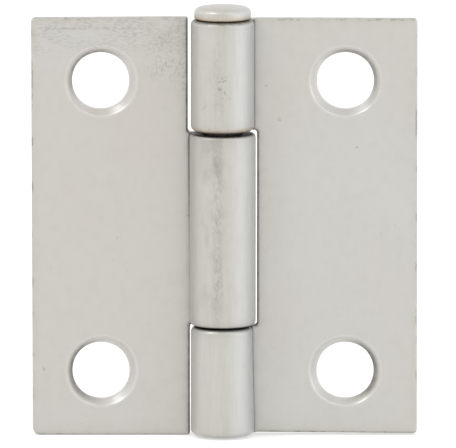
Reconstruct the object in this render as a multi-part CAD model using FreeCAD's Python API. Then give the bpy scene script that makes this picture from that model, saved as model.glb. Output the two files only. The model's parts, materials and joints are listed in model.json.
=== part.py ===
import FreeCAD, Part
import math
import os

# A small steel butt hinge, lying open: two stamped leaves and the pin that they turn on.
#
# +Z runs up the pin towards its head, -Y is the front, where the knuckles stand proud and the
# screw holes are countersunk, and +X is to the right. The origin is on the pin's axis, level with
# the lower end of the knuckles. All sizes are in millimetres.

# ---- Driving dimensions ----
HEIGHT = 38.1                 # from the lower end of the bottom knuckle to the top of the top one
SHEET = 1.15                  # thickness of the sheet that both leaves are stamped from
PIN_RADIUS = 1.75
RUNNING_CLEARANCE = 0.12      # radial, between the pin and the left leaf's knuckle
PLATE_FRONT_Y = 0.4           # the plates' front face, just behind the pin's axis
BEND_INSIDE_RADIUS = 0.5      # where a plate turns back to meet its knuckle
SEAM_GAP = 0.1                # from the sheet's rolled end to the front of the plate

# Where the knuckles end along the pin, from the bottom up.
BOTTOM_KNUCKLE = (0.0, 10.0)
MIDDLE_KNUCKLE = (10.15, 27.68)
TOP_KNUCKLE = (27.91, HEIGHT)

# The plates: distances from the pin's axis, and the heights at the notch and at the outer edge.
LEFT_REACH = 17.36
LEFT_NOTCH = 3.14             # the edge that clears the right leaf's knuckles
LEFT_BOTTOM = (-0.12, -0.08)
LEFT_TOP = (38.2, 38.12)
RIGHT_REACH = 17.67
RIGHT_NOTCH = 3.19
RIGHT_BOTTOM = (0.0, 0.05)
RIGHT_TOP = (HEIGHT, 38.05)

# Rounding.
LEFT_CORNERS = (0.7, 0.4)     # outer corners of the plates, lower and upper
RIGHT_CORNERS = (0.35, 0.4)
NOTCH_CORNER = 0.27           # where a knuckle's tongue leaves its plate
FRONT_EDGE = 0.18             # tumbled edge round the front faces
KNUCKLE_RIM = 0.4             # ends of the knuckles
ROLLED_END = 0.2              # outer corner of the sheet's rolled end

# Screw holes, for flat-head wood screws of about No. 6.
LEFT_HOLE_X = 11.07
RIGHT_HOLE_X = 11.15
HOLE_SPACING = 26.6
HOLE_MIDDLE_Z = 19.05
HOLE_RADIUS = 2.6
SINK_RADIUS = 3.2
SINK_ANGLE = 82.0
SINK_LIP = 0.3                # rounding of the countersink's mouth

# The pin.
HEAD_RADIUS = 2.6
HEAD_GAP = 0.12               # between the top knuckle and the head
HEAD_TOP = 1.27               # above the top knuckle
HEAD_DOME = 0.12              # rise of the head's top face
HEAD_UPPER_EDGE = 0.55
HEAD_LOWER_EDGE = 0.12
PIN_END_RECESS = 0.2          # from the bottom knuckle's end up to the pin's lower end
PIN_END_CHAMFER = 0.3

BACK_Y = PLATE_FRONT_Y + SHEET
FRONT_WAY = FreeCAD.Vector(0, -1, 0)
UP = FreeCAD.Vector(0, 0, 1)
TOUCH = 0.02                  # how near an edge must be to count as the one that is looked for
SQUARE_EDGE = (0.9 * SHEET, 1.1 * SHEET)    # lengths of an edge that crosses the sheet squarely
HOLE_CUTTER = 2 * SHEET       # length of the cylinder that cuts a screw hole, past the back face


def polar(radius, angle):
    return FreeCAD.Vector(radius * math.cos(angle), radius * math.sin(angle), 0)


def arc(centre, radius, start, end):
    """An arc in the XY plane that runs anticlockwise from start to end, in radians."""
    return Part.Arc(Part.Circle(centre, UP, radius), start, end).toShape()


def line(start, end):
    return Part.LineSegment(start, end).toShape()


def bend_centre(outer_radius):
    """The axis of the bend between a plate on the +X side and a knuckle of this radius."""
    y = BACK_Y + BEND_INSIDE_RADIUS
    x = math.sqrt((outer_radius + BEND_INSIDE_RADIUS) ** 2 - y ** 2)
    return FreeCAD.Vector(x, y, 0)


def knuckle_section(bore_radius, root_x):
    """The rolled sheet, seen along the pin, for a plate that starts at root_x on the +X side.

    The sheet turns back through a bend, joins the knuckle's ring, goes round behind the pin and
    comes back along the front, almost to the plate.
    """
    outer_radius = bore_radius + SHEET
    pin_axis = FreeCAD.Vector(0, 0, 0)
    bend = bend_centre(outer_radius)
    join = math.atan2(bend.y, bend.x)
    bend_span = (join + math.pi, 1.5 * math.pi)

    # The rolled end is a radial cut, and its outer corner is rounded.
    end_angle = 2 * math.pi + math.asin((PLATE_FRONT_Y - SEAM_GAP) / outer_radius)
    corner_ring = outer_radius - ROLLED_END
    corner_angle = end_angle - math.asin(ROLLED_END / corner_ring)
    corner_foot = polar(corner_ring * math.cos(end_angle - corner_angle), end_angle)

    edges = [
        line(FreeCAD.Vector(root_x, PLATE_FRONT_Y, 0), FreeCAD.Vector(bend.x, PLATE_FRONT_Y, 0)),
        arc(bend, BEND_INSIDE_RADIUS + SHEET, *bend_span),
        arc(pin_axis, bore_radius, join, end_angle),
        line(polar(bore_radius, end_angle), corner_foot),
        arc(polar(corner_ring, corner_angle), ROLLED_END, corner_angle, end_angle + math.pi / 2),
        arc(pin_axis, outer_radius, join, corner_angle),
        arc(bend, BEND_INSIDE_RADIUS, *bend_span),
        line(FreeCAD.Vector(bend.x, BACK_Y, 0), FreeCAD.Vector(root_x, BACK_Y, 0)),
        line(FreeCAD.Vector(root_x, BACK_Y, 0), FreeCAD.Vector(root_x, PLATE_FRONT_Y, 0)),
    ]
    return Part.Face(Part.Wire(Part.__sortEdges__(edges)))


def plate(outline):
    """A flat plate whose outline is a list of (x, z) corners."""
    corners = [FreeCAD.Vector(x, PLATE_FRONT_Y, z) for x, z in outline]
    face = Part.Face(Part.makePolygon(corners + corners[:1]))
    return face.extrude(FreeCAD.Vector(0, SHEET, 0))


def middle_of(edge):
    return edge.valueAt((edge.FirstParameter + edge.LastParameter) / 2)


def corner_edges(solid, places):
    """The edges square to the plate that stand at any of these (x, z) places."""
    found = []
    for edge in solid.Edges:
        middle = middle_of(edge)
        box = edge.BoundBox
        squarely = box.YLength > SQUARE_EDGE[0] and box.DiagonalLength < SQUARE_EDGE[1]
        if squarely and any(math.hypot(middle.x - x, middle.z - z) < TOUCH for x, z in places):
            found.append(edge)
    return found


def rim_edges(solid, outer_radius):
    """The outer arcs at the knuckles' ends."""
    found = []
    for edge in solid.Edges:
        middle = middle_of(edge)
        level = edge.BoundBox.ZLength < TOUCH
        if level and abs(math.hypot(middle.x, middle.y) - outer_radius) < TOUCH:
            found.append(edge)
    return found


def front_edges(solid, notch):
    """The outline of the plate's front face, without the roots of the knuckles."""
    found = []
    for edge in solid.Edges:
        box = edge.BoundBox
        if box.YLength < TOUCH and abs(box.YMin - PLATE_FRONT_Y) < TOUCH and box.XMax > notch:
            found.append(edge)
    return found


def lip_edges(solid):
    """The mouths of the countersinks."""
    found = []
    for edge in solid.Edges:
        box = edge.BoundBox
        if box.YLength < TOUCH and abs(box.XLength - 2 * SINK_RADIUS) < TOUCH:
            found.append(edge)
    return found


def screw_hole(x, z):
    """The solid that a countersunk screw hole takes out of a plate."""
    depth = (SINK_RADIUS - HOLE_RADIUS) / math.tan(math.radians(SINK_ANGLE / 2))
    sink_bottom = FreeCAD.Vector(x, PLATE_FRONT_Y + depth, z)
    behind = FreeCAD.Vector(x, BACK_Y + SHEET, z)
    hole = Part.makeCylinder(HOLE_RADIUS, HOLE_CUTTER, behind, FRONT_WAY)
    sink = Part.makeCone(HOLE_RADIUS, SINK_RADIUS, depth, sink_bottom, FRONT_WAY)
    return hole.fuse(sink)


def leaf(reach, notch, bottom, top, corners, knuckles, bore_radius, hole_x):
    """A leaf on the +X side: its plate, with the knuckles rolled from the same sheet."""
    outer_radius = bore_radius + SHEET
    solid = plate([(notch, bottom[0]), (reach, bottom[1]), (reach, top[1]), (notch, top[0])])
    for z, radius in zip((bottom[1], top[1]), corners):
        solid = solid.makeFillet(radius, corner_edges(solid, [(reach, z)]))
    section = knuckle_section(bore_radius, notch)
    for low, high in knuckles:
        knuckle = section.extrude(FreeCAD.Vector(0, 0, high - low))
        knuckle.translate(FreeCAD.Vector(0, 0, low))
        solid = solid.fuse(knuckle)
    solid = solid.removeSplitter()
    roots = [(notch, z) for ends in knuckles for z in ends if bottom[0] + TOUCH < z < top[0] - TOUCH]
    solid = solid.makeFillet(NOTCH_CORNER, corner_edges(solid, roots))
    solid = solid.makeFillet(KNUCKLE_RIM, rim_edges(solid, outer_radius))
    solid = solid.makeFillet(FRONT_EDGE, front_edges(solid, notch))
    for z in (HOLE_MIDDLE_Z - HOLE_SPACING / 2, HOLE_MIDDLE_Z + HOLE_SPACING / 2):
        solid = solid.cut(screw_hole(hole_x, z))
    return solid.makeFillet(SINK_LIP, lip_edges(solid))


def circles_at(solid, z):
    """The level edges of a turned solid at this height."""
    found = []
    for edge in solid.Edges:
        box = edge.BoundBox
        if box.ZLength < TOUCH and abs(box.ZMin - z) < TOUCH:
            found.append(edge)
    return found


def pin_head():
    """A button head with rounded edges and a slightly domed top."""
    low = HEIGHT + HEAD_GAP
    high = HEIGHT + HEAD_TOP
    dome_radius = (HEAD_RADIUS ** 2 + HEAD_DOME ** 2) / (2 * HEAD_DOME)
    head = Part.makeCylinder(HEAD_RADIUS, high - low, FreeCAD.Vector(0, 0, low))
    head = head.common(Part.makeSphere(dome_radius, FreeCAD.Vector(0, 0, high - dome_radius)))
    head = head.makeFillet(HEAD_UPPER_EDGE, circles_at(head, high - HEAD_DOME))
    return head.makeFillet(HEAD_LOWER_EDGE, circles_at(head, low))


def hinge_pin():
    """A round pin with a chamfered lower end and a button head."""
    low = PIN_END_RECESS
    length = HEIGHT + HEAD_GAP - low
    shaft = Part.makeCylinder(PIN_RADIUS, length, FreeCAD.Vector(0, 0, low))
    shaft = shaft.makeChamfer(PIN_END_CHAMFER, circles_at(shaft, low))
    return shaft.fuse(pin_head())


def main():
    right = leaf(RIGHT_REACH, RIGHT_NOTCH, RIGHT_BOTTOM, RIGHT_TOP, RIGHT_CORNERS,
                 [BOTTOM_KNUCKLE, TOP_KNUCKLE], PIN_RADIUS, RIGHT_HOLE_X)
    left = leaf(LEFT_REACH, LEFT_NOTCH, LEFT_BOTTOM, LEFT_TOP, LEFT_CORNERS,
                [MIDDLE_KNUCKLE], PIN_RADIUS + RUNNING_CLEARANCE, LEFT_HOLE_X)
    left = left.mirror(FreeCAD.Vector(0, 0, 0), FreeCAD.Vector(1, 0, 0))
    pieces = {"left_leaf": left, "right_leaf": right, "hinge_pin": hinge_pin()}
    os.makedirs("parts", exist_ok=True)
    for name, shape in pieces.items():
        shape.exportStep(f"parts/{name}.step")
        size = shape.BoundBox
        print(f"{name}: {size.XLength:.2f} x {size.YLength:.2f} x {size.ZLength:.2f} mm,"
              f" {shape.Volume:.1f} mm3, valid {shape.isValid()}, solids {len(shape.Solids)}")


main()
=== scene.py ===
import json
import math
from collections import namedtuple

import bmesh
import bpy
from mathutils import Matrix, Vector, noise


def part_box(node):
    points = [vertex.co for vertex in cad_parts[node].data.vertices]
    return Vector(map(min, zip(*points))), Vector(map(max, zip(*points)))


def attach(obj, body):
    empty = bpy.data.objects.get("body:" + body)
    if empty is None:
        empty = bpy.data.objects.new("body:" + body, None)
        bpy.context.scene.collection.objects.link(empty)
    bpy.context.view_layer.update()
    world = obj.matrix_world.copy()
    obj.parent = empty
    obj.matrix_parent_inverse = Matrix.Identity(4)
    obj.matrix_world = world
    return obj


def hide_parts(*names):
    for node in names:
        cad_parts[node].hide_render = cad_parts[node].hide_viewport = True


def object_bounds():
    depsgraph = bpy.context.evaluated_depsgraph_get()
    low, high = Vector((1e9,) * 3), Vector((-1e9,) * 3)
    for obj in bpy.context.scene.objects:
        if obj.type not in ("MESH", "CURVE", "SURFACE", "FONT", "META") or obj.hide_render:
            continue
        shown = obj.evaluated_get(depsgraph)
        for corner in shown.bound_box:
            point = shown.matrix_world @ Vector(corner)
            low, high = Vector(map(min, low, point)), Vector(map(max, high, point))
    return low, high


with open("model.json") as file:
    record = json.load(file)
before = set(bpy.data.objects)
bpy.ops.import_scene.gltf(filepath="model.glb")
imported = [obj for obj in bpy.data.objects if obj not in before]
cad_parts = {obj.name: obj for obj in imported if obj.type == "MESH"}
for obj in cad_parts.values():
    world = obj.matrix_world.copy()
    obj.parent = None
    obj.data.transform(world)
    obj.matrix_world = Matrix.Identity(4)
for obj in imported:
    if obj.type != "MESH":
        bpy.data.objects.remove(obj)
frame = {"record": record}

# The looks of a small zinc-plated butt hinge: two stamped leaves, rolled round a headed pin.
#
# Each leaf is built as the real one is. A flat blank with tabs gets its countersunk holes and its
# tumbled edges, and then the tabs are rolled into knuckles. On the blank, s runs across the sheet
# from the tab's end to the plate's outer edge, z runs up it, and n goes into it from the front.

CAD_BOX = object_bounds()
MM = 0.001

# ---- Sizes that both leaves share ----
SHEET = 1.15 * MM
BEND_INSIDE = 0.5 * MM                  # inside radius of the bend from plate to knuckle
SEAM_GAP = 0.1 * MM                     # from the rolled end to the front of the plate
PLATE_EDGES = (0.18 * MM, 0.06 * MM)    # rounding of a plate's front and back edges
BORE_EDGE = 0.06 * MM                   # rounding of a knuckle's bore edges
NOTCH_CORNER = 0.27 * MM                # fillet where a tab leaves its plate
SINK_RADIUS = 3.2 * MM                  # mouth of the countersink
SINK_HALF_ANGLE = math.radians(41)
SINK_LIP = 0.3 * MM                     # rounding of that mouth
SINK_BULGE = 0.02 * MM                  # metal that the countersink pushed up round its mouth
HOLE_EDGE = 0.05 * MM                   # rounding where the countersink and the back meet the hole
HOLE_SQUARE = 3.9 * MM                  # half the side of the patch of blank that holds a hole
PLATE_WAVES = 0.012 * MM                # how far the sheet wanders from flat
KNUCKLE_WAVES = 0.02 * MM               # how far the rolled knuckles wander from round
MIN_CELL = 1e-3 * MM                    # grid lines nearer than this are one line

# ---- How far in from an edge the shift that the shears gave it reaches ----
END_SHIFT_REACH = 4 * MM                # from the lower and upper edges
NOTCH_SHIFT_REACH = 2 * MM              # from the notch edge
OUTER_SHIFT_REACH = 2 * MM              # from the outer edge
TUCK_REACH = 1.7 * MM                   # from a knuckle's rolled end

# ---- Grime and painted shade on the sheared sides: its strength, and how far its dark band and faint halo reach ----
OUTER_EDGE_GRIME = (0.12, 0.06 * MM, 0.25 * MM)
UPRIGHT_GRIME_AND_SHADE = (0.85, 0.10 * MM, 0.30 * MM)            # the notch edge and the tabs' ends: bare cut steel, and painted shade in the slits and seams beside the knuckles
UPPER_EDGE_GRIME = (0.10, 0.12 * MM, 0.30 * MM)
LOWER_EDGE_GRIME = (0.42, 0.12 * MM, 0.30 * MM)
KNUCKLE_TOP_SHADE = (0.85, 0.20 * MM, 0.45 * MM)        # painted shade under the pin's head
KNUCKLE_BOTTOM_GRIME = (0.35, 0.075 * MM, 0.45 * MM)
JOINT_SHADE = (1.0, 0.075 * MM, 0.45 * MM)              # painted shade in the gap between two knuckles
HALO_SHARE = 0.2
NOTCH_GRIME_AND_SHADE_SPREAD = 0.6                # how much wider its band is, for how far in the edge is set

# ---- Painted shade in the seams beside the knuckles ----
UNDER_KNUCKLE_SHADE = 0.9
SEAM_BAND = (0.55, 0.10 * MM)           # strength and reach on the plate
SEAM_HALO = (0.16, 0.35 * MM)
SEAM_END_FADE = 0.3 * MM                # how far from a leaf's end the seam's painted shade fades

# ---- The painted shade on a countersink's dark side: degrees up from straight outward, and its strength ----
UPPER_SINK_SHADE = (48, 0.68)
LOWER_SINK_SHADE = (2, 0.80)

RIM_REACH = 0.55 * MM                   # how far in from a plate's edges the darker olive tint reaches

# ---- The pin ----
PIN_RADIUS = 1.75 * MM
HEAD_RADIUS = 2.6 * MM
HEAD_LOW = 38.14 * MM
HEAD_DOME = 0.12 * MM
HEAD_SHOULDER = (0.72 * MM, 0.55 * MM)  # across and down
HEAD_LOWER_EDGE = 0.22 * MM
HEAD_NECK = (0.1 * MM, 0.02 * MM)       # fillet under the head, out and down
HEAD_DENTS = 0.012 * MM                 # how uneven the head is
HEAD_SHADE_REACH = 0.05 * MM            # how far above its underside the painted shade reaches
PIN_CHAMFER = 0.3 * MM

# ---- Mesh density ----
EDGE_STEPS = 5
PLATE_STEP = 0.55 * MM
ROLL_STEP = 0.25 * MM
FILLET_STEP = 0.12 * MM
WALL_STEPS = 4
TURN_STEPS = 128
DOME_STEPS = 8
SHOULDER_STEPS = 10
LOWER_EDGE_STEPS = 6
SIDE_STEPS = 3
SHAFT_STEPS = 12


def clamp01(value):
    return min(1.0, max(0.0, value))


def smooth01(value):
    value = clamp01(value)
    return value * value * (3 - 2 * value)


def risen(value, start, width):
    """A smooth step from 0 at start to 1 at that width beyond it."""
    return smooth01((value - start) / width)


def mix(a, b, share):
    return a + (b - a) * share


def mount(name):
    return next(m for m in frame["record"]["mounts"] if m["name"] == name)


# ------------------------------------------------------------------------------------------------
# Leaves
# ------------------------------------------------------------------------------------------------

class Leaf:
    """One leaf's sizes. side is 1 for a plate on the +X side of the pin and -1 for the other.

    notch is how far the notch edge is from the pin's axis. tabs are the heights between which the
    sheet is rolled, and rim is the rounding of a knuckle's outside edges. corners are the radii of
    the plate's corners: lower and upper outer ones, then lower and upper ones on the notch edge.

    The shears didn't cut quite square, so the lower and upper edges have risen by rise[0] and
    rise[1] where the plate begins, and by lean[0] and lean[1] at the outer corners. The front of
    the notch edge stands further out by set_in[0] below the middle and set_in[1] above, and the
    outer edge further in by trim at its lower end. A knuckle at the bottom is short by lift, and
    its rolled end is thinned by tuck near its top. sink is how far outward each screw hole lies
    from the middle of its countersink.
    """

    def __init__(self, node, body, side, notch, tabs, rim, corners, rise, lean, set_in, trim, lift,
                 tuck, sink):
        low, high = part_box(node)
        screws = mount(node + "_screws")
        self.node = node
        self.body = body
        self.side = side
        self.notch = notch
        self.tabs = tabs
        self.rim = rim
        self.corners = corners
        self.rise = rise
        self.lean = lean
        self.set_in = set_in
        self.trim = trim
        self.lift = lift
        self.tuck = tuck
        self.sink = sink
        self.reach = high.x if side > 0 else -low.x
        self.bottom = low.z
        self.top = high.z
        self.outer_radius = -low.y
        self.bore_radius = self.outer_radius - SHEET
        self.front_y = screws["pos_m"][1] - SHEET
        self.hole_s = abs(screws["pos_m"][0])
        spacing = screws["dims"]["spacing_y_mm"] * MM
        self.hole_z = [screws["pos_m"][2] + k * spacing / 2 for k in (-1, 1)]
        self.hole_radius = screws["dims"]["hole_r_mm"] * MM

        self.bend_y = self.front_y + SHEET + BEND_INSIDE
        self.bend_s = math.sqrt((self.outer_radius + BEND_INSIDE) ** 2 - self.bend_y ** 2)
        self.join = math.atan2(self.bend_y, self.bend_s)
        self.bend_length = (BEND_INSIDE + SHEET / 2) * (math.pi / 2 - self.join)
        rolled_end = 2 * math.pi + math.asin((self.front_y - SEAM_GAP) / self.outer_radius)
        roll_length = (self.bore_radius + SHEET / 2) * (rolled_end - self.join)
        self.tab_end = self.bend_s - self.bend_length - roll_length

    def outline(self):
        """The blank's straight sides, each as (s, z, s, z)."""
        corners = [(self.reach, self.bottom), (self.reach, self.top)]
        level = self.top
        for low, high in reversed(self.tabs):
            if high < level:
                corners += [(self.notch, level), (self.notch, high)]
            corners += [(self.tab_end, high), (self.tab_end, low)]
            level = low
            if low > self.bottom:
                corners.append((self.notch, low))
        if level > self.bottom:
            corners.append((self.notch, self.bottom))
        corners = [c for k, c in enumerate(corners) if c != corners[k - 1]]
        return [(*corners[k - 1], *corners[k]) for k in range(len(corners))]

    def has_tab_at(self, z):
        return any(low < z < high for low, high in self.tabs)

    def holds(self, s, z):
        """Whether the blank has metal at this place, screw holes left aside."""
        return s > self.notch or self.has_tab_at(z)

    def is_upper(self, z):
        return z > (self.top + self.bottom) / 2

    def rolled_share(self, s):
        """0 on the plate, 1 in the knuckle."""
        return smooth01((self.notch - s) / MM)

    def past_bend(self, s):
        """0 on the plate and in the bend, 1 in the roll."""
        return 1 - risen(s, self.bend_s - self.bend_length - 0.5 * MM, 0.5 * MM)

    def inner_corners(self):
        """Where a tab's side meets the notch edge: (z, 1 if the notch is above, -1 if below)."""
        found = []
        for low, high in self.tabs:
            if high < self.top:
                found.append((high, 1))
            if low > self.bottom:
                found.append((low, -1))
        return found


def distance_to(side, s, z):
    s0, z0, s1, z1 = side
    return math.hypot(s - min(max(s, min(s0, s1)), max(s0, s1)),
                      z - min(max(z, min(z0, z1)), max(z0, z1)))


def rounded_depth(radius, distance):
    """How far a rounded edge falls away at this distance in from the side."""
    if distance >= radius:
        return 0.0
    return radius - math.sqrt(radius ** 2 - (radius - distance) ** 2)


def rounding_offsets(radius):
    return [radius * (1 - math.cos(math.pi / 2 * k / EDGE_STEPS)) for k in range(EDGE_STEPS + 1)]


def filled(keys, step, ease=0.1):
    """The key lines with more between them, closer together near the keys."""
    keys = sorted(keys)
    lines = [keys[0]]
    for low, high in zip(keys, keys[1:]):
        if high - low < MIN_CELL:
            continue
        count = max(1, math.ceil((high - low) / step - 0.2))
        for k in range(1, count + 1):
            t = k / count
            lines.append(low + (high - low) * (t - ease * math.sin(2 * math.pi * t)))
    return lines


def lines_across(leaf):
    edge = rounding_offsets(leaf.rim)
    roll = filled([leaf.tab_end + d for d in edge] + [leaf.bend_s], ROLL_STEP, ease=0)
    bend = filled([leaf.bend_s, leaf.notch], FILLET_STEP, ease=0)
    plate = [leaf.notch + d for d in edge] + [leaf.reach - d for d in edge]
    plate += [leaf.hole_s - HOLE_SQUARE, leaf.hole_s + HOLE_SQUARE]
    plate += [leaf.reach - radius for radius in leaf.corners]
    return roll + bend[1:] + filled(plate, PLATE_STEP)[1:]


def lines_up(leaf):
    edge = rounding_offsets(leaf.rim)
    keys = [leaf.bottom + d for d in edge] + [leaf.top - d for d in edge]
    keys += [leaf.bottom + leaf.corners[0], leaf.top - leaf.corners[1]]
    for z in leaf.hole_z:
        keys += [z - HOLE_SQUARE, z + HOLE_SQUARE]
    for z, away in leaf.inner_corners():
        keys += [z - away * d for d in edge]
        keys += [z + away * k * FILLET_STEP for k in range(4)]
    return filled(keys, PLATE_STEP)


def rounded_corner(leaf, s, z):
    """Turns the square corners of the plate into round ones."""
    places = [(leaf.reach, 1, leaf.bottom, -1), (leaf.reach, 1, leaf.top, 1),
              (leaf.notch, -1, leaf.bottom, -1), (leaf.notch, -1, leaf.top, 1)]
    for radius, (tip_s, out, tip_z, way) in zip(leaf.corners, places):
        if radius == 0:
            continue
        u = out * (s - tip_s + out * radius) / radius
        v = way * (z - tip_z + way * radius) / radius
        if u > 0 and v > 0:
            s = tip_s - out * radius + out * radius * u * math.sqrt(max(0.0, 1 - v * v / 2))
            z = tip_z - way * radius + way * radius * v * math.sqrt(max(0.0, 1 - u * u / 2))
    return s, z


def filleted_notch(leaf, s, z):
    """Moves the blank's metal out into the corners between the tabs and the notch edge."""
    for corner_z, away in leaf.inner_corners():
        up = away * (z - corner_z)
        out = leaf.notch - s
        along = max(up, out, 0.0)
        depth = math.hypot(min(up, 0.0), min(out, 0.0)) if along == 0 else -min(up, out)
        if along < NOTCH_CORNER and depth < 2 * NOTCH_CORNER:
            angle = math.pi / 4 * (1 - along / NOTCH_CORNER)
            inset = NOTCH_CORNER * (1 - math.cos(angle))
            slide = NOTCH_CORNER * (1 - math.sin(angle)) - along
            fade = 1 - smooth01(depth / (2 * NOTCH_CORNER))
            if up >= out:
                s -= inset * fade
                z += away * slide * fade
            else:
                s -= slide * fade
                z += away * inset * fade
    return s, z


def notch_shift(leaf, z):
    """How much further out than the drawing the front of the notch edge stands."""
    return mix(leaf.set_in[0], leaf.set_in[1], risen(z, 10 * MM, 18 * MM))


def skewed(leaf, s, z, n):
    """Moves the plate's edges to where the shears left them. The notch edge is moved at the front
    only, since shears leave a slanted side and the back needs its room when the leaf swings."""
    share = clamp01((s - leaf.notch) / (leaf.reach - leaf.notch))
    on_plate = risen(s, leaf.bend_s, 0.6 * MM)
    low, high = (on_plate * mix(leaf.rise[k], leaf.lean[k], share) for k in (0, 1))
    low += (1 - on_plate) * leaf.lift
    near_low = clamp01(1 - (z - leaf.bottom) / END_SHIFT_REACH)
    near_high = clamp01(1 - (leaf.top - z) / END_SHIFT_REACH)

    near_notch = (risen(s, leaf.notch - 0.6 * MM, 0.5 * MM)
                  * (1 - risen(s, leaf.notch, NOTCH_SHIFT_REACH)))
    at_front = 1 - clamp01(n / SHEET)
    out = notch_shift(leaf, z) * near_notch * at_front

    near_outer = risen(s, leaf.reach - OUTER_SHIFT_REACH, OUTER_SHIFT_REACH)
    below_top = (leaf.top - z) / (leaf.top - leaf.bottom)
    trimmed = leaf.trim * near_outer * below_top
    return s + out - trimmed, z + low * near_low + high * near_high


def tucked(leaf, z):
    """How far the rolled end of the bottom knuckle is thinned at this height."""
    return leaf.tuck * risen(z, 0, 9 * MM) * (1 - risen(z, 10 * MM, 4 * MM))


def wandered(leaf, s, z, n):
    """Sheet isn't quite flat, and knuckles aren't quite round."""
    seed = 20.0 * leaf.side
    slow = noise.noise(Vector((s / (7 * MM) + seed, z / (8 * MM), 0.3)))
    quick = noise.noise(Vector((s / (1.1 * MM) + seed, z / (9 * MM), 4.7)))
    fine = noise.noise(Vector((s / (0.8 * MM), z / (1.6 * MM) + seed, 9.1)))
    deeper = PLATE_WAVES * (slow + 0.15 * fine)
    thinner = KNUCKLE_WAVES * (0.5 + 0.25 * slow + 0.2 * quick + 0.05 * fine)
    thinner += tucked(leaf, z) * (1 - risen(s, leaf.tab_end, TUCK_REACH))
    return n + mix(deeper, -thinner * n / SHEET, leaf.rolled_share(s))


def rolled(leaf, s, n):
    """Where a point of the blank lands, as (x, y), for a plate on the +X side."""
    into = leaf.bend_s - s
    if into <= 0:
        return s, leaf.front_y + n
    if into < leaf.bend_length:
        angle = 1.5 * math.pi - into / (BEND_INSIDE + SHEET / 2)
        radius = BEND_INSIDE + SHEET - n
        return leaf.bend_s + radius * math.cos(angle), leaf.bend_y + radius * math.sin(angle)
    angle = leaf.join + (into - leaf.bend_length) / (leaf.bore_radius + SHEET / 2)
    radius = leaf.bore_radius + n
    return radius * math.cos(angle), radius * math.sin(angle)


def placed(leaf, s, z, n):
    """A point of the flat blank, once the leaf is made."""
    n = wandered(leaf, s, z, n)
    s, z = rounded_corner(leaf, s, z)
    s, z = filleted_notch(leaf, s, z)
    s, z = skewed(leaf, s, z, n)
    x, y = rolled(leaf, s, n)
    return Vector((leaf.side * x, y, z))


def side_grime(leaf, side, s, z):
    """The grime and painted shade along one straight side of the blank, as it is at this place: its
    strength, and how far its dark band and its faint halo reach."""
    if side[0] == side[2]:
        if side[0] == leaf.reach:
            return OUTER_EDGE_GRIME
        strength, near, far = UPRIGHT_GRIME_AND_SHADE
        if side[0] == leaf.notch:
            near -= NOTCH_GRIME_AND_SHADE_SPREAD * notch_shift(leaf, z)
        return strength, near, far
    height = side[1]
    upper = leaf.is_upper(height)
    plate = UPPER_EDGE_GRIME if upper else LOWER_EDGE_GRIME
    if min(abs(height - leaf.bottom), abs(height - leaf.top)) < MIN_CELL:
        knuckle, share = KNUCKLE_TOP_SHADE if upper else KNUCKLE_BOTTOM_GRIME, leaf.past_bend(s)
    else:
        knuckle, share = JOINT_SHADE, leaf.rolled_share(s)
    return [mix(a, b, share) for a, b in zip(plate, knuckle)]


def edge_grime(leaf, s, z):
    """How dark the metal is near its sheared sides: grime and bare steel on the cut edges, and painted
    shade in the gaps between knuckles, in the slits and seams beside them and under the pin's head.
    """
    darkest = 0.0
    for side in leaf.outline():
        away = distance_to(side, s, z)
        strength, near, far = side_grime(leaf, side, s, z)
        faded = mix(math.exp(-(away / near) ** 2), math.exp(-away / far), HALO_SHARE)
        darkest = max(darkest, strength * faded)
    return darkest


def seam_grime(leaf, s, z, n):
    """The painted shade on the plate where its knuckle's rolled end comes back to it."""
    if n > 0.5 * SHEET or not leaf.has_tab_at(z):
        return 0.0
    away = s - leaf.outer_radius + tucked(leaf, z)
    if away >= 0:
        (band, near), (halo, far) = SEAM_BAND, SEAM_HALO
        return band * math.exp(-(away / near) ** 2) + halo * math.exp(-away / far)
    if s <= leaf.bend_s - leaf.bend_length:
        return 0.0
    from_end = min(z - leaf.bottom, leaf.top - z)
    return UNDER_KNUCKLE_SHADE * risen(from_end, 0, SEAM_END_FADE)


def sink_grime(leaf, s, z, centre_z):
    """The painted shade on a countersink's wall: most on the side away from the pin, and deep down."""
    from_s, from_z = s - leaf.hole_s, z - centre_z
    radius = math.hypot(from_s, from_z)
    faces, strength = UPPER_SINK_SHADE if leaf.is_upper(centre_z) else LOWER_SINK_SHADE
    turned_by = math.atan2(from_z, from_s) - math.radians(faces)
    dark_side = smooth01(0.24 + 0.78 * math.cos(turned_by))
    inside = 1 - risen(radius, SINK_RADIUS - 0.18 * MM, 0.12 * MM)
    deep = mix(1.0, 0.6, risen(radius, SINK_RADIUS - 0.5 * MM, 0.3 * MM))
    return inside * deep * strength * dark_side


def sink_polish(leaf, s, z, centre_z):
    """How burnished the metal is in a countersink, and less so on its rounded mouth. The same mark
    paints the countersink lighter: painted light.
    """
    radius = math.hypot(s - leaf.hole_s, z - centre_z)
    wall = 1 - risen(radius, SINK_RADIUS - 0.14 * MM, 0.14 * MM)
    mouth = 1 - risen(radius, SINK_RADIUS + 0.10 * MM, 0.14 * MM)
    return 0.6 * wall + 0.4 * mouth


def plate_rim(leaf, s, z):
    """How near a plate's edges a place is, where the tone is darker and more olive: 1 at the edge
    itself.
    """
    if s < leaf.notch:
        return 0.0
    away = min(leaf.reach - s, z - leaf.bottom, leaf.top - z)
    if not leaf.has_tab_at(z):
        away = min(away, s - leaf.notch)
    return math.exp(-(max(away, 0.0) / RIM_REACH) ** 2)


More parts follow.
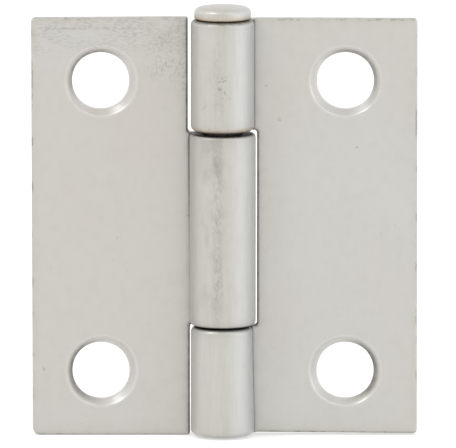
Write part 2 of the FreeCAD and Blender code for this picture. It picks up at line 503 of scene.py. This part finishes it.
class Blank:
    """The mesh of one leaf, made on the flat blank's grid of lines."""

    def __init__(self, leaf):
        self.leaf = leaf
        self.mesh = bmesh.new()
        self.grime, self.polish, self.rim = (self.mesh.verts.layers.float.new(name)
                                             for name in ("grime", "polish", "rim"))
        self.s = lines_across(leaf)
        self.z = lines_up(leaf)
        self.sides = leaf.outline()
        self.made = {}

    def vertex(self, s, z, n):
        made = self.mesh.verts.new(placed(self.leaf, s, z, n))
        # The mark holds grime on the cut edges and painted shade in the gaps, slits and seams.
        made[self.grime] = max(edge_grime(self.leaf, s, z), seam_grime(self.leaf, s, z, n))
        made[self.rim] = plate_rim(self.leaf, s, z)
        return made

    def depths(self, i, j):
        """How deep the front and the back surface lie at a crossing of the grid."""
        s, z = self.s[i], self.z[j]
        inside = min(distance_to(side, s, z) for side in self.sides)
        share = self.leaf.rolled_share(s)
        front = mix(PLATE_EDGES[0], BORE_EDGE, share)
        back = mix(PLATE_EDGES[1], self.leaf.rim, share)
        return rounded_depth(front, inside), SHEET - rounded_depth(back, inside)

    def column(self, i, j):
        """The vertices at a crossing: the front one, the back one, and for a side those between."""
        if (i, j) not in self.made:
            front, back = self.depths(i, j)
            s, z = self.s[i], self.z[j]
            self.made[i, j] = {"ends": (front, back),
                               "front": self.vertex(s, z, front),
                               "back": self.vertex(s, z, back),
                               "wall": None}
        return self.made[i, j]

    def wall(self, i, j):
        """The vertices down the sheet's side at a crossing on the outline, front to back."""
        column = self.column(i, j)
        if column["wall"] is None:
            front, back = column["ends"]
            between = [self.vertex(self.s[i], self.z[j], mix(front, back, k / WALL_STEPS))
                       for k in range(1, WALL_STEPS)]
            column["wall"] = [column["front"], *between, column["back"]]
        return column["wall"]

    def cells(self):
        """The grid's cells that hold metal, screw holes left aside."""
        found = set()
        for i in range(len(self.s) - 1):
            for j in range(len(self.z) - 1):
                middle = (self.s[i] + self.s[i + 1]) / 2, (self.z[j] + self.z[j + 1]) / 2
                if self.leaf.holds(*middle):
                    found.add((i, j))
        return found

    def strip(self, upper, lower):
        """Faces between two rows of vertices of the same length."""
        for k in range(len(upper) - 1):
            self.mesh.faces.new((upper[k], upper[k + 1], lower[k + 1], lower[k]))

    def nearest(self, lines, value):
        return min(range(len(lines)), key=lambda k: abs(lines[k] - value))

    def hole_square(self, hole_z):
        """The range of cells that a hole's patch takes the place of."""
        return (self.nearest(self.s, self.leaf.hole_s - HOLE_SQUARE),
                self.nearest(self.s, self.leaf.hole_s + HOLE_SQUARE),
                self.nearest(self.z, hole_z - HOLE_SQUARE),
                self.nearest(self.z, hole_z + HOLE_SQUARE))

    def rings(self, loop, centre_z, surface, steps):
        """Runs rings of faces in from a square loop of crossings. Returns the innermost ring.

        steps are (share, radius, depth): share 0 is the square and 1 the circle of that radius. The
        mouth is off the hole's centre, and the hole's own wall is not.
        """
        hole_radius = self.leaf.hole_radius
        outer = [self.column(i, j)[surface] for i, j in loop]
        for share, radius, depth in steps:
            off = self.leaf.sink * share * clamp01((radius - hole_radius) / (SINK_RADIUS - hole_radius))
            inner = []
            for i, j in loop:
                from_s, from_z = self.s[i] - self.leaf.hole_s, self.z[j] - centre_z
                scale = mix(1.0, radius / math.hypot(from_s, from_z), share)
                s, z = self.leaf.hole_s + from_s * scale, centre_z + from_z * scale
                inner.append(self.vertex(s - off, z, depth))
                if surface == "front":
                    # Painted shade on the countersink's dark side, and painted light where it is
                    # burnished.
                    inner[-1][self.grime] = sink_grime(self.leaf, s, z, centre_z)
                    inner[-1][self.polish] = sink_polish(self.leaf, s, z, centre_z)
            self.strip(outer + outer[:1], inner + inner[:1])
            outer = inner
        return outer

    def hole(self, centre_z):
        """A countersunk hole with a rolled-over mouth."""
        i0, i1, j0, j1 = self.hole_square(centre_z)
        loop = [(i, j0) for i in range(i0, i1)] + [(i1, j) for j in range(j0, j1)]
        loop += [(i, j1) for i in range(i1, i0, -1)] + [(i0, j) for j in range(j1, j0, -1)]
        front = self.rings(loop, centre_z, "front", sink_steps(self.leaf.hole_radius))
        back = self.rings(loop, centre_z, "back", back_steps(self.leaf.hole_radius))
        self.strip(front + front[:1], back + back[:1])

    def build(self):
        cells = self.cells()
        holes = [self.hole_square(z) for z in self.leaf.hole_z]
        for i, j in sorted(cells):
            if any(i0 <= i < i1 and j0 <= j < j1 for i0, i1, j0, j1 in holes):
                continue
            ring = [(i, j), (i + 1, j), (i + 1, j + 1), (i, j + 1)]
            for surface in ("front", "back"):
                self.mesh.faces.new([self.column(*at)[surface] for at in ring])
        for i, j in sorted(cells):
            for beyond, start, end in (((i, j - 1), (i, j), (i + 1, j)),
                                       ((i, j + 1), (i, j + 1), (i + 1, j + 1)),
                                       ((i - 1, j), (i, j), (i, j + 1)),
                                       ((i + 1, j), (i + 1, j), (i + 1, j + 1))):
                if beyond not in cells:
                    self.strip(self.wall(*start), self.wall(*end))
        for z in self.leaf.hole_z:
            self.hole(z)
        bmesh.ops.recalc_face_normals(self.mesh, faces=self.mesh.faces)
        return self.mesh


def sink_steps(hole_radius):
    """The countersink, from the square patch down to the hole's wall."""
    slope = math.tan(SINK_HALF_ANGLE)
    turn = math.pi / 2 - SINK_HALF_ANGLE
    mouth = SINK_RADIUS + SINK_LIP * math.tan(turn / 2)
    steps = [(share, SINK_RADIUS + out, 0.0)
             for share, out in ((0.35, 0.55 * MM), (0.7, 0.5 * MM), (1.0, 0.45 * MM))]
    steps += [(1.0, SINK_RADIUS + 0.33 * MM, -0.5 * SINK_BULGE),
              (1.0, SINK_RADIUS + 0.22 * MM, -SINK_BULGE)]
    for k in range(EDGE_STEPS + 1):
        angle = turn * k / EDGE_STEPS
        rounded = SINK_LIP * (1 - math.cos(angle))
        steps.append((1.0, mouth - SINK_LIP * math.sin(angle),
                      rounded - SINK_BULGE * (1 - k / EDGE_STEPS)))
    last = steps[-1][1]
    for share in (0.33, 0.67, 0.93):
        radius = mix(last, hole_radius, share)
        steps.append((1.0, radius, (SINK_RADIUS - radius) / slope))
    depth = (SINK_RADIUS - hole_radius) / slope
    steps.append((1.0, hole_radius, depth + HOLE_EDGE))
    steps.append((1.0, hole_radius, mix(depth, SHEET, 0.5)))
    return steps


def back_steps(hole_radius):
    """The back of the sheet round a hole, from the square patch to the hole's wall."""
    return [(0.4, hole_radius + 1.1 * MM, SHEET),
            (0.8, hole_radius + 0.9 * MM, SHEET),
            (1.0, hole_radius + 0.6 * MM, SHEET),
            (1.0, hole_radius + 0.25 * MM, SHEET),
            (1.0, hole_radius + HOLE_EDGE, SHEET),
            (1.0, hole_radius + 0.3 * HOLE_EDGE, SHEET - 0.3 * HOLE_EDGE),
            (1.0, hole_radius, SHEET - HOLE_EDGE)]


def object_from(mesh, name, subdivided):
    data = bpy.data.meshes.new(name)
    mesh.to_mesh(data)
    mesh.free()
    data.shade_smooth()
    made = bpy.data.objects.new(name, data)
    bpy.context.scene.collection.objects.link(made)
    if subdivided:
        modifier = made.modifiers.new("finer", "SUBSURF")
        modifier.levels = 1
        modifier.render_levels = 1
    return made


# ------------------------------------------------------------------------------------------------
# Pin
# ------------------------------------------------------------------------------------------------

def quarter_turn(centre_r, centre_z, across, down, start, steps):
    """Points on a quarter ellipse that turns clockwise from start, in degrees, without the first."""
    angles = [math.radians(start - 90 * k / steps) for k in range(1, steps + 1)]
    return [(centre_r + across * math.cos(a), centre_z + down * math.sin(a)) for a in angles]


def pin_profile(low, high):
    """The pin's outline from the middle of its head down to the middle of its lower end."""
    across, down = HEAD_SHOULDER
    flat_radius = HEAD_RADIUS - across
    shares = [k / DOME_STEPS for k in range(1, DOME_STEPS + 1)]
    dome = [(flat_radius * share, high - HEAD_DOME * share ** 2) for share in shares]
    upper = quarter_turn(flat_radius, high - HEAD_DOME - down, across, down, 90, SHOULDER_STEPS)
    edge = HEAD_LOWER_EDGE
    lower = quarter_turn(HEAD_RADIUS - edge, HEAD_LOW + edge, edge, edge, 0, LOWER_EDGE_STEPS)
    side = [(HEAD_RADIUS, mix(upper[-1][1], HEAD_LOW + edge, k / SIDE_STEPS))
            for k in range(1, SIDE_STEPS + 1)]
    shaft_top = HEAD_LOW - HEAD_NECK[1]
    shaft_low = low + PIN_CHAMFER
    shaft = [(PIN_RADIUS + HEAD_NECK[0], HEAD_LOW)]
    shaft += [(PIN_RADIUS, mix(shaft_top, shaft_low, k / SHAFT_STEPS)) for k in range(SHAFT_STEPS + 1)]
    end_radius = PIN_RADIUS - PIN_CHAMFER
    return dome + upper + side + lower + shaft + [(end_radius, low), (0.6 * end_radius, low)]


def turned(profile, high, low):
    """A solid of revolution about the Z axis, closed at both ends with a fan."""
    mesh = bmesh.new()
    grime = mesh.verts.layers.float.new("grime")
    rows = []
    for radius, z in profile:
        row = []
        for k in range(TURN_STEPS):
            angle = 2 * math.pi * k / TURN_STEPS
            around = Vector((2.2 * math.cos(angle), 2.2 * math.sin(angle), z / (0.9 * MM)))
            shrink = HEAD_DENTS * (1 + noise.noise(around)) if z > HEAD_LOW else 0.0
            r = radius - shrink * min(1.0, radius / HEAD_RADIUS)
            row.append(mesh.verts.new((r * math.cos(angle), r * math.sin(angle), z)))
            # Painted shade on the head's underside and the shaft below it, for the dark gap over the
            # top knuckle.
            row[-1][grime] = 1 - risen(z, HEAD_LOW, HEAD_SHADE_REACH)
        rows.append(row)
    for upper, lower in zip(rows, rows[1:]):
        for k in range(TURN_STEPS):
            mesh.faces.new((upper[k - 1], upper[k], lower[k], lower[k - 1]))
    for row, z in ((rows[0], high), (rows[-1], low)):
        middle = mesh.verts.new((0, 0, z))
        for k in range(TURN_STEPS):
            mesh.faces.new((row[k - 1], row[k], middle))
    bmesh.ops.recalc_face_normals(mesh, faces=mesh.faces)
    return mesh


# ------------------------------------------------------------------------------------------------
# Materials
# ------------------------------------------------------------------------------------------------

class Paint:
    """A short way to write a node material. Its places are in millimetres in the row's frame."""

    def __init__(self, name):
        self.material = bpy.data.materials.new(name)
        self.material.use_nodes = True
        self.tree = self.material.node_tree
        self.shader = self.tree.nodes["Principled BSDF"]
        coordinates = self.tree.nodes.new("ShaderNodeTexCoord").outputs["Object"]
        self.place = self.scaled(coordinates, (1000.0, 1000.0, 1000.0))
        split = self.tree.nodes.new("ShaderNodeSeparateXYZ")
        self.feed(split.inputs[0], self.place)
        self.x, self.y, self.z = split.outputs

    def feed(self, socket, value):
        if isinstance(value, bpy.types.NodeSocket):
            self.tree.links.new(value, socket)
        else:
            socket.default_value = value

    def scaled(self, vector, by):
        made = self.tree.nodes.new("ShaderNodeVectorMath")
        made.operation = "MULTIPLY"
        self.feed(made.inputs[0], vector)
        self.feed(made.inputs[1], by)
        return made.outputs[0]

    def calc(self, operation, a, b=0.0, clamp=False):
        made = self.tree.nodes.new("ShaderNodeMath")
        made.operation = operation
        made.use_clamp = clamp
        self.feed(made.inputs[0], a)
        self.feed(made.inputs[1], b)
        return made.outputs[0]

    def ramp(self, value, low, high, to_low=0.0, to_high=1.0):
        """A smooth step: to_low where value is under low, to_high where it is over high."""
        made = self.tree.nodes.new("ShaderNodeMapRange")
        made.interpolation_type = "SMOOTHSTEP"
        for socket, given in zip(made.inputs, (value, low, high, to_low, to_high)):
            self.feed(socket, given)
        return made.outputs[0]

    def band(self, value, middle, half_width, soft):
        """1 within half_width of middle, falling to 0 over the next soft."""
        away = self.calc("ABSOLUTE", self.calc("SUBTRACT", value, middle))
        return self.ramp(away, half_width, half_width + soft, 1.0, 0.0)

    def times(self, *values):
        product = values[0]
        for value in values[1:]:
            product = self.calc("MULTIPLY", product, value)
        return product

    def plus(self, *values):
        total = values[0]
        for value in values[1:]:
            total = self.calc("ADD", total, value)
        return total

    def noise(self, per_mm, detail=2.0, shift=0.0):
        """Noise with that many lumps per millimetre along X, Y and Z."""
        made = self.tree.nodes.new("ShaderNodeTexNoise")
        made.noise_dimensions = "4D"
        self.feed(made.inputs["Vector"], self.scaled(self.place, per_mm))
        self.feed(made.inputs["W"], shift)
        self.feed(made.inputs["Scale"], 1.0)
        self.feed(made.inputs["Detail"], detail)
        return made.outputs[0]

    def mark(self, name):
        """One of the mesh's own marks, a number at each vertex."""
        made = self.tree.nodes.new("ShaderNodeAttribute")
        made.attribute_name = name
        return made.outputs["Fac"]

    def blended(self, a, b, share):
        made = self.tree.nodes.new("ShaderNodeMix")
        made.data_type = "RGBA"
        self.feed(made.inputs[0], share)
        self.feed(made.inputs[6], a)
        self.feed(made.inputs[7], b)
        return made.outputs[2]

    def bump(self, height, distance):
        made = self.tree.nodes.new("ShaderNodeBump")
        self.feed(made.inputs["Height"], height)
        self.feed(made.inputs["Distance"], distance)
        self.feed(made.inputs["Strength"], 1.0)
        return made.outputs[0]


METALLIC = 0.7
COAT = 0.5
COAT_ROUGHNESS = 0.3
BUMP_DEPTH = 0.006 * MM
MOST_GRIME_AND_SHADE = 0.97                       # grime and painted shade never quite hide the metal

# Colours, linear.
ZINC = (0.520, 0.518, 0.488, 1.0)
ZINC_WARM = (0.515, 0.485, 0.455, 1.0)
ZINC_OLIVE = (0.485, 0.475, 0.415, 1.0)
# Painted cool tint of reflected light on a knuckle's lit side.
ZINC_PAINTED_LIT_TINT = (0.520, 0.525, 0.515, 1.0)
# Painted light in the burnished countersinks.
ZINC_PAINTED_LIGHT = (0.80, 0.79, 0.76, 1.0)
ZINC_DULL = (0.38, 0.372, 0.33, 1.0)
SCUFF = (0.24, 0.235, 0.22, 1.0)
EDGE_BROWN = (0.205, 0.180, 0.135, 1.0)
SHADE_BROWN = (0.075, 0.055, 0.035, 1.0)
RUST = (0.34, 0.21, 0.13, 1.0)
RIM_RUST = (0.48, 0.335, 0.20, 1.0)
RUST_DARK = (0.16, 0.075, 0.035, 1.0)
# Near black for grime and painted shade.
GRIME_AND_SHADE_BLACK = (0.022, 0.019, 0.016, 1.0)
FLOOR_DARK = (0.54, 0.54, 0.54, 1.0)
FLOOR_PALE = (0.56, 0.56, 0.56, 1.0)
WHITE = (1.0, 1.0, 1.0, 1.0)

# Where rubbing has darkened a knuckle: from and up to which height in mm, how much, and how much of
# a thumb-sized smudge it has near the upper end.
Rub = namedtuple("Rub", "low high strength smudge")

# A bare sheared rim that has begun to rust: its height and half its width in mm, and how even the
# rust is, from 0 to 1.
Rim = namedtuple("Rim", "height half_width even")


def knuckle_tones(paint, colour, on_knuckle, rub):
    """The knuckle's colours: olive where it has been handled, a painted cool tint of reflected light on
    the side in the light, lined by the rolling, and darker where rub says. Returns the colour and how
    rubbed it is."""
    streaks = paint.noise((1.4, 1.4, 0.10), detail=4.0, shift=6.0)
    olive = paint.times(on_knuckle, paint.band(paint.x, -0.6, 0.7, 1.1),
                        paint.ramp(streaks, 0.3, 0.6), 0.6)
    # Painted reflection: a cool tint on the knuckle's side toward the right softbox.
    lit_side_tint = paint.times(on_knuckle, paint.ramp(paint.x, 0.7, 1.7), 0.8)
    colour = paint.blended(colour, ZINC_OLIVE, olive)
    colour = paint.blended(colour, ZINC_PAINTED_LIT_TINT, lit_side_tint)

    lines = paint.noise((3.6, 3.6, 0.35), detail=7.0, shift=2.0)
    blots = paint.noise((1.3, 1.3, 0.7), detail=6.0, shift=4.0)
    crumbs = paint.noise((7.0, 7.0, 2.6), detail=5.0, shift=8.0)
    middle, half_height = (rub.low + rub.high) / 2, (rub.high - rub.low) / 2
    rubbed = paint.times(on_knuckle, paint.band(paint.z, middle, half_height - 2.0, 4.0), rub.strength)
    narrow = paint.times(paint.band(paint.x, -0.45, 0.15, 0.55), paint.ramp(crumbs, 0.30, 0.80),
                         paint.ramp(blots, 0.25, 0.55, 0.35, 0.8))
    broad = paint.times(paint.band(paint.x, -0.8, 0.6, 1.0), paint.ramp(blots, 0.40, 0.68), 0.6)
    lined = paint.times(on_knuckle, paint.ramp(lines, 0.45, 0.8), 0.28)
    smudge = paint.times(on_knuckle, paint.band(paint.x, -1.1, 0.4, 1.2),
                         paint.band(paint.z, rub.high - 3.2, 0.9, 1.8),
                         paint.ramp(blots, 0.20, 0.60), rub.smudge)
    colour = paint.blended(colour, ZINC_DULL, paint.plus(lined, smudge, paint.times(rubbed, broad)))
    return paint.blended(colour, EDGE_BROWN, paint.times(rubbed, narrow)), rubbed


def zinc_tones(paint, warm, mottle, drawn):
    """The plating's colours: clouded, darker and more olive along a plate's edges, and dulled in
    places.
    """
    clouds = paint.noise((0.09, 0.09, 0.07), detail=3.0, shift=warm * 5)
    specks = paint.noise((3.1, 3.1, 3.1), detail=2.0, shift=9.0)
    warmed = paint.ramp(clouds, 0.3, 0.7, warm * 0.4, 0.6 + 0.4 * warm)
    olive_edges = paint.times(paint.mark("rim"), paint.ramp(mottle, 0.3, 0.6, 0.25, 0.65))
    dulled = paint.plus(paint.times(paint.ramp(mottle, 0.45, 0.8), 0.09),
                        paint.times(paint.ramp(drawn, 0.5, 0.85), 0.08),
                        paint.times(paint.ramp(specks, 0.70, 0.76), 0.5))
    colour = paint.blended(ZINC, ZINC_WARM, warmed)
    colour = paint.blended(colour, ZINC_OLIVE, olive_edges)
    return paint.blended(colour, ZINC_DULL, dulled)


def small_marks(paint, colour):
    """Nicks along a plate's edges, and a few flecks of rust anywhere."""
    nicked = paint.ramp(paint.noise((1.5, 1.5, 0.8), detail=5.0, shift=19.0), 0.50, 0.66)
    nicks = paint.times(paint.ramp(paint.mark("rim"), 0.84, 0.98), nicked, 0.6)
    flecks = paint.ramp(paint.noise((0.9, 0.9, 0.9), detail=6.0, shift=17.0), 0.70, 0.76)
    colour = paint.blended(colour, EDGE_BROWN, nicks)
    return paint.blended(colour, RUST, paint.times(flecks, 0.5))


def rusted_rim(paint, colour, on_knuckle, rim):
    """The first rust, in a ring round a bare rim."""
    ragged = paint.noise((1.3, 1.3, 0.9), detail=4.0, shift=7.0)
    patches = paint.noise((2.4, 2.4, 2.4), detail=5.0, shift=1.5)
    wander = mix(0.15, 0.05, rim.even)
    height = paint.plus(paint.z, paint.ramp(ragged, 0.3, 0.7, -wander, wander))
    ring = paint.times(paint.band(height, rim.height, rim.half_width, mix(0.12, 0.25, rim.even)),
                       on_knuckle,
                       paint.ramp(patches, 0.36, 0.60, 0.6 * rim.even, mix(1.0, 0.75, rim.even)))
    return paint.blended(colour, RIM_RUST, paint.times(ring, 0.7))


def plating(name, warm, rims, rub, scuffs=None):
    """Satin zinc plating: even at a glance, with drag marks, mottling and rubbed places close to.

    warm is how warm its tone is, from 0 to 1. rims are its rusted rims. scuffs is a function that
    returns where this piece is scuffed and the colour of its scuffs.
    """
    paint = Paint(name)
    mottle = paint.noise((1.3, 1.3, 1.1), detail=6.0)
    grain = paint.noise((9.0, 9.0, 9.0), detail=3.0)
    drawn = paint.noise((0.35, 0.35, 11.0), detail=3.0)
    on_knuckle = paint.ramp(paint.y, -0.3, 0.2, 1.0, 0.0)

    colour = small_marks(paint, zinc_tones(paint, warm, mottle, drawn))
    colour, rubbed = knuckle_tones(paint, colour, on_knuckle, rub)
    rough = paint.plus(paint.ramp(mottle, 0.3, 0.75, 0.43, 0.52), paint.times(rubbed, 0.08))
    if scuffs is not None:
        scuffed, scuff_colour = scuffs(paint)
        colour = paint.blended(colour, scuff_colour, paint.times(scuffed, 0.5))
        rough = paint.plus(rough, paint.times(scuffed, 0.12))
    for rim in rims:
        colour = rusted_rim(paint, colour, on_knuckle, rim)

    # The mesh's marks say where a countersink is burnished and painted lighter, and where grime and
    # painted
    # shade lie: painted shade in the seams, between the knuckles, under the pin's head and down the
    # countersinks' dark sides, and grime and painted shade on the sheared sides. Noise breaks it up.
    polish = paint.mark("polish")
    broken = paint.ramp(paint.noise((2.6, 2.6, 1.4), detail=5.0, shift=3.0), 0.25, 0.7, 0.8, 1.1)
    grime = paint.times(paint.mark("grime"), broken)
    dirt_and_shade = paint.blended(GRIME_AND_SHADE_BLACK, SHADE_BROWN, paint.ramp(polish, 0.0, 0.4))
    # Painted light: the burnished countersinks are painted a lighter colour, against the shade their
    # walls cast on each other.
    colour = paint.blended(colour, ZINC_PAINTED_LIGHT, paint.times(polish, 0.30))
    colour = paint.blended(colour, dirt_and_shade, paint.calc("MINIMUM", grime, MOST_GRIME_AND_SHADE))
    rough = paint.plus(rough, paint.times(grime, 0.2), paint.times(polish, -0.12))

    height = paint.times(paint.plus(paint.times(grain, 0.35), paint.times(drawn, 0.25), mottle),
                         paint.ramp(polish, 0.0, 1.0, 1.0, 0.15))
    paint.feed(paint.shader.inputs["Base Color"], colour)
    paint.feed(paint.shader.inputs["Metallic"], METALLIC)
    paint.feed(paint.shader.inputs["Roughness"], rough)
    paint.feed(paint.shader.inputs["Coat Weight"], COAT)
    paint.feed(paint.shader.inputs["Coat Roughness"], COAT_ROUGHNESS)
    paint.feed(paint.shader.inputs["Normal"], paint.bump(height, BUMP_DEPTH))
    return paint.material


def upper_scuffs(paint):
    """Drag marks along the top of the left plate, and a rubbed patch beside the top knuckle."""
    patchy = paint.noise((0.45, 0.45, 0.8), detail=3.0, shift=1.0)
    rows = paint.ramp(paint.noise((2.2, 2.2, 7.5), detail=4.0, shift=11.0), 0.42, 0.66)
    broken = paint.ramp(paint.noise((2.3, 2.3, 2.3), detail=6.0, shift=13.0), 0.36, 0.64)
    speckles = paint.ramp(paint.noise((4.6, 4.6, 3.4), detail=4.0, shift=5.0), 0.42, 0.70)

    dashes = paint.times(paint.band(paint.z, 37.2, 0.04, 0.16), paint.band(paint.x, -11.6, 4.2, 0.8),
                         broken, 0.9)
    along_top = paint.times(paint.ramp(paint.z, 34.2, 36.4), rows,
                            paint.ramp(patchy, 0.30, 0.55), 0.75)
    beside = paint.times(paint.ramp(paint.x, -8.2, -5.2), paint.ramp(paint.z, 29.5, 33.5), speckles,
                         paint.ramp(patchy, 0.30, 0.56), 0.85)
    on_front = paint.band(paint.y, 0.4, 0.15, 0.1)
    worst = paint.calc("MAXIMUM", paint.calc("MAXIMUM", along_top, dashes), beside)
    return paint.times(on_front, worst), SCUFF


def knuckle_specks(paint):
    """A sprinkling of brown specks on the front of the top knuckle."""
    crumbs = paint.ramp(paint.noise((4.0, 4.0, 3.6), detail=3.0, shift=23.0), 0.55, 0.68)
    on_front = paint.ramp(paint.y, -1.2, -0.6, 1.0, 0.0)
    where = paint.times(paint.band(paint.x, 0.05, 0.25, 0.7), paint.band(paint.z, 31.9, 0.5, 1.3),
                        on_front)
    return paint.times(crumbs, where), RUST_DARK


def clean_floor():
    """White paper that glows a little, so that it stays pale round the object."""
    paint = Paint("floor_paper")
    tone = paint.noise((0.002, 0.002, 0.002), detail=2.0)
    paint.feed(paint.shader.inputs["Base Color"], paint.blended(FLOOR_DARK, FLOOR_PALE, tone))
    paint.feed(paint.shader.inputs["Roughness"], 0.9)
    paint.feed(paint.shader.inputs["Specular IOR Level"], 0.1)
    paint.feed(paint.shader.inputs["Emission Color"], WHITE)
    paint.feed(paint.shader.inputs["Emission Strength"], 0.50)
    return paint.material


# ------------------------------------------------------------------------------------------------
# Stage
# ------------------------------------------------------------------------------------------------

FLOOR_RADII = (0.5, 2.0, 8.0)
FLOOR_SIDES = 48
SURROUND_FRONT = 1.0                    # the surround's strength, ahead and behind
SURROUND_SIDES = 1.25
VIEW_MIDDLE = Vector((0.49 * MM, 0, 19.35 * MM))
VIEW_ELEVATION = 8.5
VIEW_DISTANCE = 1.2
VIEW_WIDTH = 41.38 * MM                 # what the picture's width takes in at the middle

# Square softboxes: azimuth and elevation in degrees, distance and size in metres, and watts.
LIGHTS = {
    "right_softbox": (66, 8, 0.7, 0.45, 0.62),
    "upper_left_lamp": (-57, 51, 0.8, 0.09, 1.3),
    "upper_right_lamp": (35, 50, 0.8, 0.14, 0.4),
}


def make_floor(z):
    """A wide round sheet of pale paper."""
    mesh = bmesh.new()
    rings = []
    for radius in FLOOR_RADII:
        rings.append([mesh.verts.new((radius * math.cos(a), radius * math.sin(a), z))
                      for a in (math.tau * k / FLOOR_SIDES for k in range(FLOOR_SIDES))])
    mesh.faces.new(rings[0])
    for inner, outer in zip(rings, rings[1:]):
        for k in range(FLOOR_SIDES):
            mesh.faces.new((inner[k - 1], inner[k], outer[k], outer[k - 1]))
    bmesh.ops.recalc_face_normals(mesh, faces=mesh.faces)
    floor = object_from(mesh, "floor", subdivided=False)
    floor.data.materials.append(clean_floor())


def make_world():
    """An even white surround that lights the object a little more from its sides than its front."""
    world = bpy.data.worlds.new("studio")
    world.use_nodes = True
    tree = world.node_tree
    background = tree.nodes["Background"]
    background.inputs["Color"].default_value = WHITE
    split = tree.nodes.new("ShaderNodeSeparateXYZ")
    tree.links.new(tree.nodes.new("ShaderNodeTexCoord").outputs["Generated"], split.inputs[0])
    sideways = tree.nodes.new("ShaderNodeMath")
    sideways.operation = "ABSOLUTE"
    tree.links.new(split.outputs["X"], sideways.inputs[0])
    ramp = tree.nodes.new("ShaderNodeMapRange")
    ramp.interpolation_type = "SMOOTHSTEP"
    tree.links.new(sideways.outputs[0], ramp.inputs[0])
    for socket, value in zip(ramp.inputs[1:], (0.25, 0.9, SURROUND_FRONT, SURROUND_SIDES)):
        socket.default_value = value
    tree.links.new(ramp.outputs[0], background.inputs["Strength"])
    bpy.context.scene.world = world


def aim(name, data, azimuth, elevation, distance):
    """Adds a light or camera that looks at the middle of the view. Azimuth 0 is the front, and 90
    is +X."""
    a, e = math.radians(azimuth), math.radians(elevation)
    way = Vector((math.sin(a) * math.cos(e), -math.cos(a) * math.cos(e), math.sin(e)))
    made = bpy.data.objects.new(name, data)
    made.location = VIEW_MIDDLE + way * distance
    made.rotation_mode = "QUATERNION"
    made.rotation_quaternion = (-way).to_track_quat("-Z", "Y")
    bpy.context.scene.collection.objects.link(made)
    return made


def make_lights():
    for name, (azimuth, elevation, distance, size, power) in LIGHTS.items():
        light = bpy.data.lights.new(name, "AREA")
        light.size = size
        light.energy = power
        aim(name, light, azimuth, elevation, distance).visible_camera = False


def make_camera():
    data = bpy.data.cameras.new("camera")
    data.sensor_width = 36.0
    data.lens = data.sensor_width * VIEW_DISTANCE / VIEW_WIDTH
    data.clip_start = 0.01
    data.clip_end = 100.0
    bpy.context.scene.camera = aim("camera", data, 0, VIEW_ELEVATION, VIEW_DISTANCE)


# ------------------------------------------------------------------------------------------------
# The hinge
# ------------------------------------------------------------------------------------------------

def make_leaf(leaf, material):
    made = object_from(Blank(leaf).build(), leaf.node + "_plated", subdivided=True)
    made.data.materials.append(material)
    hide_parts(leaf.node)
    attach(made, leaf.body)


def make_pin(material):
    low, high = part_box("hinge_pin")
    made = object_from(turned(pin_profile(low.z, high.z), high.z, low.z), "hinge_pin_plated", False)
    made.data.materials.append(material)
    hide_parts("hinge_pin")
    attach(made, "fixed_leaf")


def main():
    bottom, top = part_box("right_leaf")[0].z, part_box("right_leaf")[1].z
    left = Leaf("left_leaf", "swinging_leaf", side=-1, notch=3.14 * MM,
                tabs=[(10.15 * MM, 27.68 * MM)], rim=0.35 * MM,
                corners=(0.7 * MM, 0.4 * MM, 0.3 * MM, 0.25 * MM),
                rise=(0.0, 0.0), lean=(0.0, -0.08 * MM), set_in=(-0.20 * MM, 0.05 * MM),
                trim=0.08 * MM, lift=0.0, tuck=0.0, sink=0.09 * MM)
    right = Leaf("right_leaf", "fixed_leaf", side=1, notch=3.19 * MM,
                 tabs=[(bottom, 10.0 * MM), (27.91 * MM, top)], rim=0.5 * MM,
                 corners=(0.35 * MM, 0.4 * MM, 0.0, 0.0),
                 rise=(0.15 * MM, 0.0), lean=(0.02 * MM, -0.05 * MM), set_in=(-0.09 * MM, -0.08 * MM),
                 trim=0.0, lift=0.06 * MM, tuck=0.2 * MM, sink=0.03 * MM)
    make_leaf(left, plating("zinc_left_leaf", warm=0.9, rims=[],
                            rub=Rub(11.0, 29.0, 0.62, 0.45), scuffs=upper_scuffs))
    make_leaf(right, plating("zinc_right_leaf", warm=0.25,
                             rims=[Rim(28.1, 0.16, 0.5), Rim(38.06, 0.03, 0.0)],
                             rub=Rub(29.0, 37.0, 0.3, 0.0), scuffs=knuckle_specks))
    make_pin(plating("zinc_pin", warm=0.6, rims=[Rim(38.2, 0.14, 1.0)],
                     rub=Rub(38.0, 39.0, 0.3, 0.0)))
    make_floor(CAD_BOX[0].z)
    make_world()
    make_lights()
    make_camera()
    bpy.context.scene.view_settings.view_transform = "Standard"


main()
